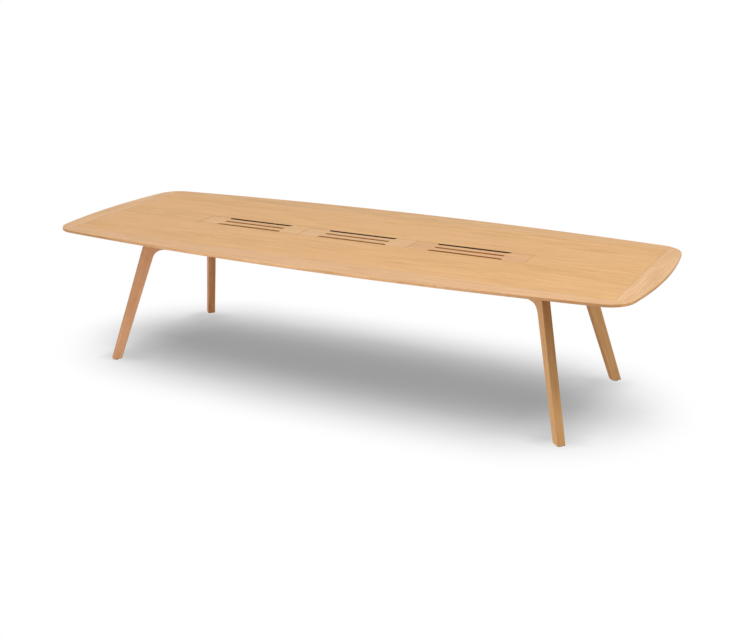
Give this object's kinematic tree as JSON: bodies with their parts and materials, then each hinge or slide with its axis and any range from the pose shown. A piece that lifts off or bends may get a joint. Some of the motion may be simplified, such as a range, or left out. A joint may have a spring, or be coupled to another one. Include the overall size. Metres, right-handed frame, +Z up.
{
  "type": "conference table",
  "caption": "Boat-shaped conference table with a bordered oak top on splayed, tapered knee legs, and a lidded cable tray along its middle.",
  "frame": {"origin": "on the floor, under the middle of the table top", "axes": "+X along the table, +Y across it to the far side of the picture, +Z up"},
  "size_m": [3.2, 1.2, 0.725],
  "materials": {
    "oak_field": "clear satin lacquer on straight-grained oak veneer",
    "oak_border": "clear satin lacquer on solid oak",
    "oak_lid": "clear satin lacquer on oak veneer",
    "oak_leg": "clear satin lacquer on solid oak",
    "joinery_wood": "sawn, glued in",
    "black_steel": "matt black powder coat",
    "zinc_steel": "bright zinc plate",
    "glide_plastic": "matt moulded plastic"
  },
  "bodies": {
    "table": {"top_field": "oak_field", "top_side_near": "oak_border", "top_side_far": "oak_border", "top_end_left": "oak_border", "top_end_right": "oak_border", "tongue_near": "joinery_wood", "tongue_far": "joinery_wood", "tongue_left": "joinery_wood", "tongue_right": "joinery_wood", "lid_frame": "black_steel", "cable_tray": "black_steel", "beam_near": "black_steel", "beam_far": "black_steel", "end_tie_left": "black_steel", "end_tie_right": "black_steel", "leg_near_left": "oak_leg", "arm_near_left": "oak_leg", "knee_tenon_near_left": "joinery_wood", "saddle_near_left": "black_steel", "saddle_bolt_outer_near_left": "zinc_steel", "saddle_bolt_inner_near_left": "zinc_steel", "cleat_near_left": "zinc_steel", "glide_near_left": "glide_plastic", "leg_near_right": "oak_leg", "arm_near_right": "oak_leg", "knee_tenon_near_right": "joinery_wood", "saddle_near_right": "black_steel", "saddle_bolt_outer_near_right": "zinc_steel", "saddle_bolt_inner_near_right": "zinc_steel", "cleat_near_right": "zinc_steel", "glide_near_right": "glide_plastic", "leg_far_left": "oak_leg", "arm_far_left": "oak_leg", "knee_tenon_far_left": "joinery_wood", "saddle_far_left": "black_steel", "saddle_bolt_outer_far_left": "zinc_steel", "saddle_bolt_inner_far_left": "zinc_steel", "cleat_far_left": "zinc_steel", "glide_far_left": "glide_plastic", "leg_far_right": "oak_leg", "arm_far_right": "oak_leg", "knee_tenon_far_right": "joinery_wood", "saddle_far_right": "black_steel", "saddle_bolt_outer_far_right": "zinc_steel", "saddle_bolt_inner_far_right": "zinc_steel", "cleat_far_right": "zinc_steel", "glide_far_right": "glide_plastic"},
    "lid_left": {"lid_1": "oak_lid"},
    "lid_middle": {"lid_2": "oak_lid"},
    "lid_right": {"lid_3": "oak_lid"}
  },
  "joints": [
    {"name": "lid_left_lift", "type": "slide", "parent": "table", "child": "lid_left", "axis": [0, 0, 1], "range_m": [0, 0.15]},
    {"name": "lid_middle_lift", "type": "slide", "parent": "table", "child": "lid_middle", "axis": [0, 0, 1], "range_m": [0, 0.15]},
    {"name": "lid_right_lift", "type": "slide", "parent": "table", "child": "lid_right", "axis": [0, 0, 1], "range_m": [0, 0.15]}
  ]
}
